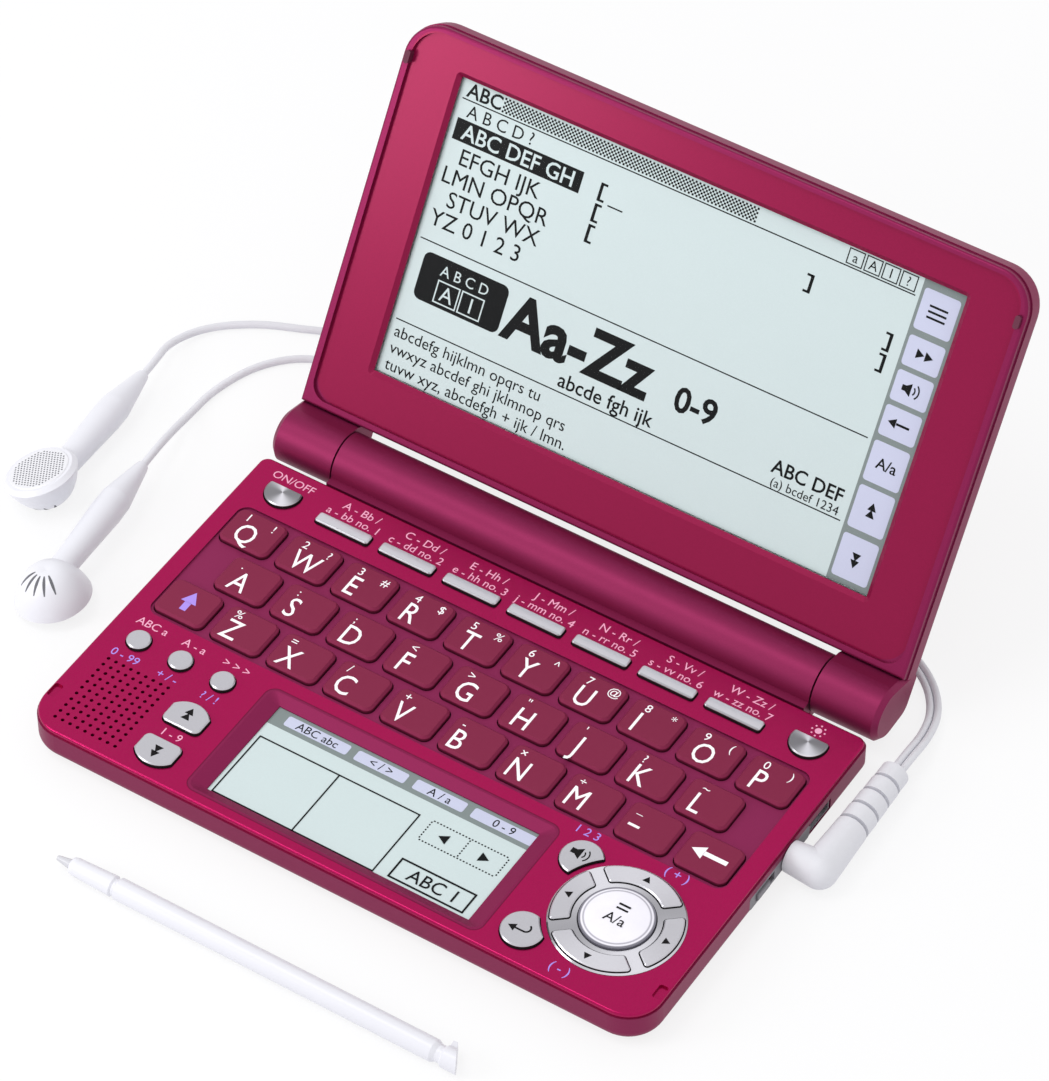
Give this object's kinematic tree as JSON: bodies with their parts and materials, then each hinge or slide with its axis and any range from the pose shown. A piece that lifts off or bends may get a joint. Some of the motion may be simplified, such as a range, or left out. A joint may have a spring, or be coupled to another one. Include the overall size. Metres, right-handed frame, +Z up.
{
  "type": "electronic dictionary",
  "caption": "Pocket electronic dictionary: hinged lid with a wide screen, small keyboard, writing pad, ring of arrow keys, loose pen and corded earphones.",
  "frame": {"origin": "middle of the object's box without its earphones, on the surface that it stands on", "axes": "+X to the right of someone typing, along the hinge; +Y away from them, from the pen to the lid; +Z up"},
  "size_m": [0.2041, 0.1944, 0.0886],
  "materials": {
    "satin_magenta": "satin metallic plum-pink paint on ABS",
    "gloss_magenta": "glossy magenta plate, clear coated",
    "plum_keys": "fine matt moulded keys with white legends",
    "silver_keys": "spun and polished silver plated key tops",
    "bright_trim": "bright plated ring",
    "clear_white": "domed clear key over white",
    "dark_rubber": "matt silicone rubber",
    "board_green": "solder mask green laminate",
    "dark_plastic": "matt black moulding",
    "small_lcd": "reflective liquid crystal panel behind a clear film",
    "large_lcd": "reflective liquid crystal panel",
    "screen_glass": "clear touch panel",
    "cell_wrap": "plain metallic wrap on a steel can",
    "spring_steel": "nickel plated steel",
    "grey_trim": "matt grey moulding",
    "gold_plate": "gold plated plug",
    "white_rubber": "smooth white elastomer",
    "white_plastic": "smooth white moulding",
    "white_mesh": "white painted perforated steel"
  },
  "bodies": {
    "base": {"lower_case": "satin_magenta", "top_cover": "gloss_magenta", "nav_plate": "bright_trim", "key_mat": "dark_rubber", "main_board": "board_green", "speaker": "dark_plastic", "writing_display": "small_lcd", "batteries": "cell_wrap", "battery_contacts": "spring_steel", "hinge_barrel": "satin_magenta", "hinge_pins": "spring_steel", "rubber_feet": "dark_rubber", "case_screws": "spring_steel", "port_trim": "grey_trim", "headphone_jack": "dark_plastic", "usb_port": "spring_steel", "plug": "gold_plate", "plug_boot": "white_rubber", "cord_trunk": "white_rubber", "cord_coil": "white_rubber", "cord_splitter": "white_plastic", "cord_left": "white_rubber", "cord_right": "white_rubber", "earbud_left": "white_plastic", "earbud_right": "white_plastic", "earbud_grilles": "white_mesh"},
    "lid": {"lid_back_cover": "satin_magenta", "lid_front_frame": "gloss_magenta", "main_display": "large_lcd", "touch_panel": "screen_glass", "lid_bumpers": "dark_rubber"},
    "battery_door": {"battery_cover": "satin_magenta"},
    "slide_switch": {"output_switch": "grey_trim"},
    "pen": {"stylus": "white_plastic"},
    "power_key_body": {"power_key": "silver_keys"},
    "backlight_key_body": {"backlight_key": "silver_keys"},
    "shift_key_body": {"shift_key": "plum_keys"},
    "delete_key_body": {"delete_key": "plum_keys"},
    "page_up_key_body": {"page_up_key": "silver_keys"},
    "page_down_key_body": {"page_down_key": "silver_keys"},
    "voice_key_body": {"voice_key": "silver_keys"},
    "back_key_body": {"back_key": "silver_keys"},
    "right_key_body": {"right_key": "silver_keys"},
    "up_key_body": {"up_key": "silver_keys"},
    "left_key_body": {"left_key": "silver_keys"},
    "down_key_body": {"down_key": "silver_keys"},
    "function_key_1_body": {"function_key_1": "silver_keys"},
    "function_key_2_body": {"function_key_2": "silver_keys"},
    "function_key_3_body": {"function_key_3": "silver_keys"},
    "function_key_4_body": {"function_key_4": "silver_keys"},
    "function_key_5_body": {"function_key_5": "silver_keys"},
    "function_key_6_body": {"function_key_6": "silver_keys"},
    "function_key_7_body": {"function_key_7": "silver_keys"},
    "round_key_1_body": {"round_key_1": "silver_keys"},
    "round_key_2_body": {"round_key_2": "silver_keys"},
    "round_key_3_body": {"round_key_3": "silver_keys"},
    "enter_key_body": {"enter_key": "clear_white"},
    "top_row_keys_body": {"top_row_keys": "plum_keys"},
    "middle_row_keys_body": {"middle_row_keys": "plum_keys"},
    "bottom_row_keys_body": {"bottom_row_keys": "plum_keys"}
  },
  "joints": [
    {"name": "lid_hinge", "type": "hinge", "parent": "base", "child": "lid", "pos_m": [0, 0.03137, 0.00895], "axis": [1, 0, 0], "range_deg": [-25, 121.5]},
    {"name": "power_key_press", "type": "slide", "parent": "base", "child": "power_key_body", "axis": [0, 0, -1], "range_m": [0, 0.0008], "stiffness_N_per_m": 300, "springref_m": -0.0005},
    {"name": "backlight_key_press", "type": "slide", "parent": "base", "child": "backlight_key_body", "axis": [0, 0, -1], "range_m": [0, 0.0008], "stiffness_N_per_m": 300, "springref_m": -0.0005},
    {"name": "shift_key_press", "type": "slide", "parent": "base", "child": "shift_key_body", "axis": [0, 0, -1], "range_m": [0, 0.0008], "stiffness_N_per_m": 300, "springref_m": -0.0005},
    {"name": "delete_key_press", "type": "slide", "parent": "base", "child": "delete_key_body", "axis": [0, 0, -1], "range_m": [0, 0.0008], "stiffness_N_per_m": 300, "springref_m": -0.0005},
    {"name": "page_up_key_press", "type": "slide", "parent": "base", "child": "page_up_key_body", "axis": [0, 0, -1], "range_m": [0, 0.0008], "stiffness_N_per_m": 300, "springref_m": -0.0005},
    {"name": "page_down_key_press", "type": "slide", "parent": "base", "child": "page_down_key_body", "axis": [0, 0, -1], "range_m": [0, 0.0008], "stiffness_N_per_m": 300, "springref_m": -0.0005},
    {"name": "voice_key_press", "type": "slide", "parent": "base", "child": "voice_key_body", "axis": [0, 0, -1], "range_m": [0, 0.0008], "stiffness_N_per_m": 300, "springref_m": -0.0005},
    {"name": "back_key_press", "type": "slide", "parent": "base", "child": "back_key_body", "axis": [0, 0, -1], "range_m": [0, 0.0008], "stiffness_N_per_m": 300, "springref_m": -0.0005},
    {"name": "right_key_press", "type": "slide", "parent": "base", "child": "right_key_body", "axis": [0, 0, -1], "range_m": [0, 0.0008], "stiffness_N_per_m": 300, "springref_m": -0.0005},
    {"name": "up_key_press", "type": "slide", "parent": "base", "child": "up_key_body", "axis": [0, 0, -1], "range_m": [0, 0.0008], "stiffness_N_per_m": 300, "springref_m": -0.0005},
    {"name": "left_key_press", "type": "slide", "parent": "base", "child": "left_key_body", "axis": [0, 0, -1], "range_m": [0, 0.0008], "stiffness_N_per_m": 300, "springref_m": -0.0005},
    {"name": "down_key_press", "type": "slide", "parent": "base", "child": "down_key_body", "axis": [0, 0, -1], "range_m": [0, 0.0008], "stiffness_N_per_m": 300, "springref_m": -0.0005},
    {"name": "function_key_1_press", "type": "slide", "parent": "base", "child": "function_key_1_body", "axis": [0, 0, -1], "range_m": [0, 0.0008], "stiffness_N_per_m": 300, "springref_m": -0.0005},
    {"name": "function_key_2_press", "type": "slide", "parent": "base", "child": "function_key_2_body", "axis": [0, 0, -1], "range_m": [0, 0.0008], "stiffness_N_per_m": 300, "springref_m": -0.0005},
    {"name": "function_key_3_press", "type": "slide", "parent": "base", "child": "function_key_3_body", "axis": [0, 0, -1], "range_m": [0, 0.0008], "stiffness_N_per_m": 300, "springref_m": -0.0005},
    {"name": "function_key_4_press", "type": "slide", "parent": "base", "child": "function_key_4_body", "axis": [0, 0, -1], "range_m": [0, 0.0008], "stiffness_N_per_m": 300, "springref_m": -0.0005},
    {"name": "function_key_5_press", "type": "slide", "parent": "base", "child": "function_key_5_body", "axis": [0, 0, -1], "range_m": [0, 0.0008], "stiffness_N_per_m": 300, "springref_m": -0.0005},
    {"name": "function_key_6_press", "type": "slide", "parent": "base", "child": "function_key_6_body", "axis": [0, 0, -1], "range_m": [0, 0.0008], "stiffness_N_per_m": 300, "springref_m": -0.0005},
    {"name": "function_key_7_press", "type": "slide", "parent": "base", "child": "function_key_7_body", "axis": [0, 0, -1], "range_m": [0, 0.0008], "stiffness_N_per_m": 300, "springref_m": -0.0005},
    {"name": "round_key_1_press", "type": "slide", "parent": "base", "child": "round_key_1_body", "axis": [0, 0, -1], "range_m": [0, 0.0008], "stiffness_N_per_m": 300, "springref_m": -0.0005},
    {"name": "round_key_2_press", "type": "slide", "parent": "base", "child": "round_key_2_body", "axis": [0, 0, -1], "range_m": [0, 0.0008], "stiffness_N_per_m": 300, "springref_m": -0.0005},
    {"name": "round_key_3_press", "type": "slide", "parent": "base", "child": "round_key_3_body", "axis": [0, 0, -1], "range_m": [0, 0.0008], "stiffness_N_per_m": 300, "springref_m": -0.0005},
    {"name": "enter_key_press", "type": "slide", "parent": "base", "child": "enter_key_body", "axis": [0, 0, -1], "range_m": [0, 0.0008], "stiffness_N_per_m": 300, "springref_m": -0.0005},
    {"name": "top_row_keys_press", "type": "slide", "parent": "base", "child": "top_row_keys_body", "axis": [0, 0, -1], "range_m": [0, 0.0008], "stiffness_N_per_m": 300, "springref_m": -0.0005},
    {"name": "middle_row_keys_press", "type": "slide", "parent": "base", "child": "middle_row_keys_body", "axis": [0, 0, -1], "range_m": [0, 0.0008], "stiffness_N_per_m": 300, "springref_m": -0.0005},
    {"name": "bottom_row_keys_press", "type": "slide", "parent": "base", "child": "bottom_row_keys_body", "axis": [0, 0, -1], "range_m": [0, 0.0008], "stiffness_N_per_m": 300, "springref_m": -0.0005},
    {"name": "battery_door_slide", "type": "slide", "parent": "base", "child": "battery_door", "axis": [0, 0.342, -0.9397], "range_m": [0, 0.012]},
    {"name": "switch_slide", "type": "slide", "parent": "base", "child": "slide_switch", "axis": [0, 1, 0], "range_m": [0, 0.002]},
    {"name": "pen_lift", "type": "slide", "parent": "base", "child": "pen", "axis": [0, 0, 1], "range_m": [0, 0.05]}
  ]
}
